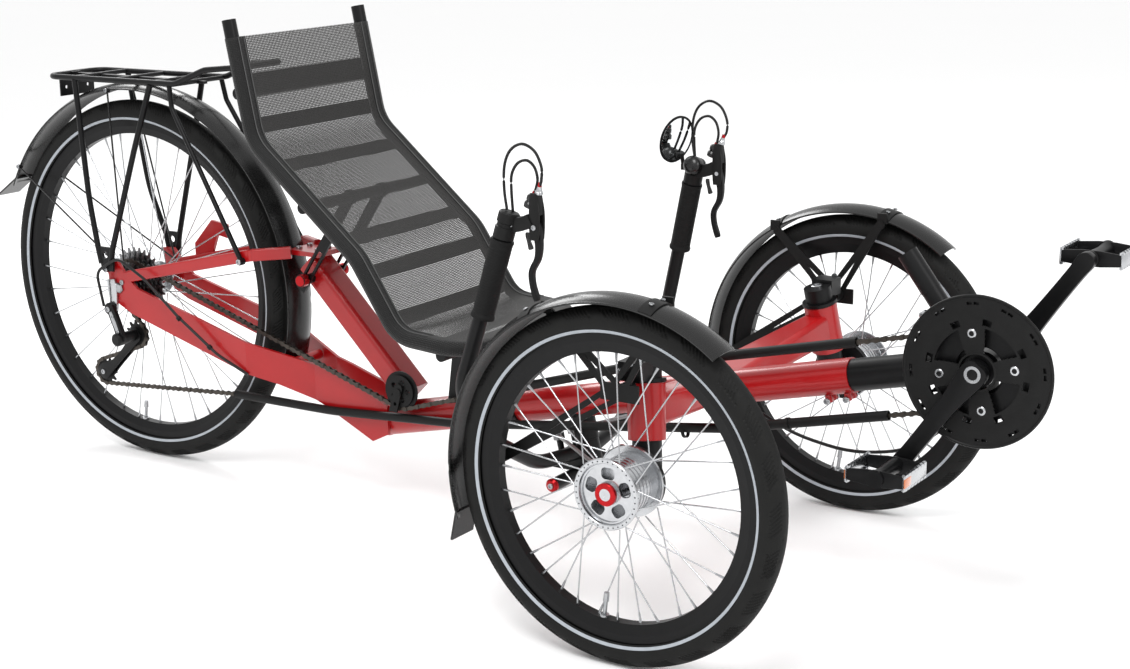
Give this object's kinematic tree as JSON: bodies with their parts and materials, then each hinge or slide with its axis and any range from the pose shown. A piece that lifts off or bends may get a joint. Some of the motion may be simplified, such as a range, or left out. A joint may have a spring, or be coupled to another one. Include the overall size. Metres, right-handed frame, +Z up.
{
  "type": "recumbent tricycle",
  "caption": "Recumbent tadpole tricycle with mesh seat, under-seat steering, fenders, rear rack and chain drive to the rear wheel.",
  "frame": {"origin": "on the ground, under the middle of the tricycle's bounding box", "axes": "+X forwards, +Y to the rider's left, +Z up; the ground is Z = 0"},
  "size_m": [2.0448, 0.79, 0.8021],
  "materials": {
    "red_paint": "gloss",
    "black_paint": "satin",
    "black_plastic": "satin",
    "tyre_rubber": "matte",
    "rim_black": "matte",
    "polished_aluminium": "polished",
    "steel": "satin",
    "chain_steel": "satin",
    "mesh_fabric": "woven",
    "mirror_glass": "polished",
    "cable_black": "satin"
  },
  "bodies": {
    "frame": {"main_tube": "red_paint", "cross_arms": "red_paint", "steering_mount": "black_paint", "rear_beam": "red_paint", "seat_tube": "red_paint", "lower_stays": "red_paint", "upper_stays": "red_paint", "rear_derailleur": "black_paint", "rack": "black_paint", "rear_fender": "black_plastic", "chain_tubes": "black_plastic", "idler_bracket": "steel", "chain_rear": "chain_steel", "frame_cables": "cable_black", "seat_mounts": "black_paint"},
    "seat": {"seat_frame": "black_paint", "seat_mesh": "mesh_fabric"},
    "struts": {"recline_struts": "black_paint"},
    "boom": {"boom": "black_paint", "front_derailleur": "steel", "chain_front": "chain_steel"},
    "crankset": {"chainrings": "steel", "chainguard": "black_plastic", "crank_right": "black_paint", "crank_left": "black_paint"},
    "rear_wheel": {"tyre_rear": "tyre_rubber", "rim_rear": "rim_black", "hub_rear": "polished_aluminium"},
    "cassette": {"cassette": "steel"},
    "jockey_cage": {"jockey_cage": "black_paint"},
    "jockey_upper": {"jockey_upper": "black_plastic"},
    "jockey_lower": {"jockey_lower": "black_plastic"},
    "idler": {"idler_wheel": "black_plastic"},
    "handlebar": {"handlebar": "black_paint", "control_right": "black_plastic", "control_left": "black_plastic", "bar_cables": "cable_black"},
    "mirror": {"mirror": "mirror_glass"},
    "pedal_right": {"pedal_right": "black_plastic"},
    "knuckle_right": {"knuckle_right": "black_paint", "top_clamp_right": "black_paint", "fender_bracket_right": "black_plastic", "fender_right": "black_plastic"},
    "front_wheel_right": {"tyre_right": "tyre_rubber", "rim_right": "rim_black", "hub_right": "polished_aluminium"},
    "tie_rod_right": {"tie_rod_right": "steel"},
    "brake_lever_right": {"brake_lever_right": "black_paint"},
    "shift_lever_right": {"shift_lever_right": "black_paint"},
    "pedal_left": {"pedal_left": "black_plastic"},
    "knuckle_left": {"knuckle_left": "black_paint", "top_clamp_left": "black_paint", "fender_bracket_left": "black_plastic", "fender_left": "black_plastic"},
    "front_wheel_left": {"tyre_left": "tyre_rubber", "rim_left": "rim_black", "hub_left": "polished_aluminium"},
    "tie_rod_left": {"tie_rod_left": "steel"},
    "brake_lever_left": {"brake_lever_left": "black_paint"},
    "shift_lever_left": {"shift_lever_left": "black_paint"}
  },
  "joints": [
    {"name": "steering", "type": "hinge", "parent": "frame", "child": "handlebar", "pos_m": [0.24187, 0, 0.17068], "axis": [-0.2215, 0, 0.9751], "range_deg": [-25, 25]},
    {"name": "boom_slide", "type": "slide", "parent": "frame", "child": "boom", "axis": [0.9751, 0, 0.2215], "range_m": [0, 0.05]},
    {"name": "crank_spin", "type": "hinge", "parent": "boom", "child": "crankset", "pos_m": [0.88358, 0, 0.378], "axis": [0, 1, 0], "continuous": true},
    {"name": "rear_wheel_spin", "type": "hinge", "parent": "frame", "child": "rear_wheel", "pos_m": [-0.67242, 0, 0.3195], "axis": [0, 1, 0], "continuous": true},
    {"name": "cassette_spin", "type": "hinge", "parent": "frame", "child": "cassette", "pos_m": [-0.67242, 0, 0.3195], "axis": [0, 1, 0], "continuous": true},
    {"name": "cage_pivot", "type": "hinge", "parent": "frame", "child": "jockey_cage", "pos_m": [-0.66942, 0, 0.23], "axis": [0, 1, 0], "range_deg": [-10, 10], "stiffness_Nm_per_rad": 2, "deforming": ["chain_rear"]},
    {"name": "jockey_upper_spin", "type": "hinge", "parent": "jockey_cage", "child": "jockey_upper", "pos_m": [-0.66942, 0, 0.23], "axis": [0, 1, 0], "continuous": true},
    {"name": "jockey_lower_spin", "type": "hinge", "parent": "jockey_cage", "child": "jockey_lower", "pos_m": [-0.75342, 0, 0.152], "axis": [0, 1, 0], "continuous": true},
    {"name": "idler_spin", "type": "hinge", "parent": "frame", "child": "idler", "pos_m": [-0.08442, 0, 0.21], "axis": [0, 1, 0], "continuous": true},
    {"name": "seat_recline", "type": "hinge", "parent": "frame", "child": "seat", "pos_m": [0.01858, 0, 0.3], "axis": [0, 1, 0], "range_deg": [-5, 1.5]},
    {"name": "strut_pivot", "type": "hinge", "parent": "seat", "child": "struts", "pos_m": [-0.17521, 0, 0.51659], "axis": [0, 1, 0], "range_deg": [-12, 12]},
    {"name": "mirror_turn", "type": "hinge", "parent": "handlebar", "child": "mirror", "pos_m": [0.26178, 0.262, 0.552], "axis": [0, 0, 1], "range_deg": [-15, 4]},
    {"name": "kingpin_right", "type": "hinge", "parent": "frame", "child": "knuckle_right", "pos_m": [0.50858, -0.272, 0.323], "axis": [-0.1199, 0.1809, 0.9762], "range_deg": [-22, 22]},
    {"name": "front_wheel_spin_right", "type": "hinge", "parent": "knuckle_right", "child": "front_wheel_right", "pos_m": [0.51858, -0.362, 0.243], "axis": [0, 1, 0], "continuous": true},
    {"name": "tie_rod_pivot_right", "type": "hinge", "parent": "handlebar", "child": "tie_rod_right", "pos_m": [0.20315, -0.02, 0.17389], "axis": [-0.2215, 0, 0.9751], "range_deg": [-30, 30]},
    {"name": "pedal_spin_right", "type": "hinge", "parent": "crankset", "child": "pedal_right", "pos_m": [0.78776, -0.12, 0.24367], "axis": [0, 1, 0], "continuous": true},
    {"name": "brake_squeeze_right", "type": "hinge", "parent": "handlebar", "child": "brake_lever_right", "pos_m": [0.32858, -0.258, 0.552], "axis": [0, 1, 0], "range_deg": [0, 13], "stiffness_Nm_per_rad": 1.5, "springref_deg": -8.59},
    {"name": "shift_push_right", "type": "hinge", "parent": "handlebar", "child": "shift_lever_right", "pos_m": [0.31058, -0.254, 0.5395], "axis": [0, 1, 0], "range_deg": [0, 12], "stiffness_Nm_per_rad": 0.2, "springref_deg": -5.73},
    {"name": "kingpin_left", "type": "hinge", "parent": "frame", "child": "knuckle_left", "pos_m": [0.50858, 0.272, 0.323], "axis": [-0.1199, -0.1809, 0.9762], "range_deg": [-22, 22]},
    {"name": "front_wheel_spin_left", "type": "hinge", "parent": "knuckle_left", "child": "front_wheel_left", "pos_m": [0.51858, 0.362, 0.243], "axis": [0, 1, 0], "continuous": true},
    {"name": "tie_rod_pivot_left", "type": "hinge", "parent": "handlebar", "child": "tie_rod_left", "pos_m": [0.20315, 0.02, 0.17389], "axis": [-0.2215, 0, 0.9751], "range_deg": [-30, 30]},
    {"name": "pedal_spin_left", "type": "hinge", "parent": "crankset", "child": "pedal_left", "pos_m": [0.9794, 0.12, 0.51233], "axis": [0, 1, 0], "continuous": true},
    {"name": "brake_squeeze_left", "type": "hinge", "parent": "handlebar", "child": "brake_lever_left", "pos_m": [0.32858, 0.258, 0.552], "axis": [0, 1, 0], "range_deg": [0, 13], "stiffness_Nm_per_rad": 1.5, "springref_deg": -8.59},
    {"name": "shift_push_left", "type": "hinge", "parent": "handlebar", "child": "shift_lever_left", "pos_m": [0.31058, 0.254, 0.5395], "axis": [0, 1, 0], "range_deg": [0, 12], "stiffness_Nm_per_rad": 0.2, "springref_deg": -5.73}
  ],
  "couplings": [
    {"joint": "cassette_spin", "follows": "crank_spin", "ratio": 1.2381},
    {"joint": "idler_spin", "follows": "crank_spin", "ratio": -1.7333},
    {"joint": "jockey_upper_spin", "follows": "crank_spin", "ratio": -2.3636},
    {"joint": "jockey_lower_spin", "follows": "crank_spin", "ratio": 2.3636},
    {"joint": "strut_pivot", "follows": "seat_recline", "ratio": -0.5906},
    {"joint": "kingpin_right", "follows": "steering", "ratio": 0.8},
    {"joint": "tie_rod_pivot_right", "follows": "steering", "ratio": -1.06},
    {"joint": "kingpin_left", "follows": "steering", "ratio": 0.8},
    {"joint": "tie_rod_pivot_left", "follows": "steering", "ratio": -1.06}
  ]
}
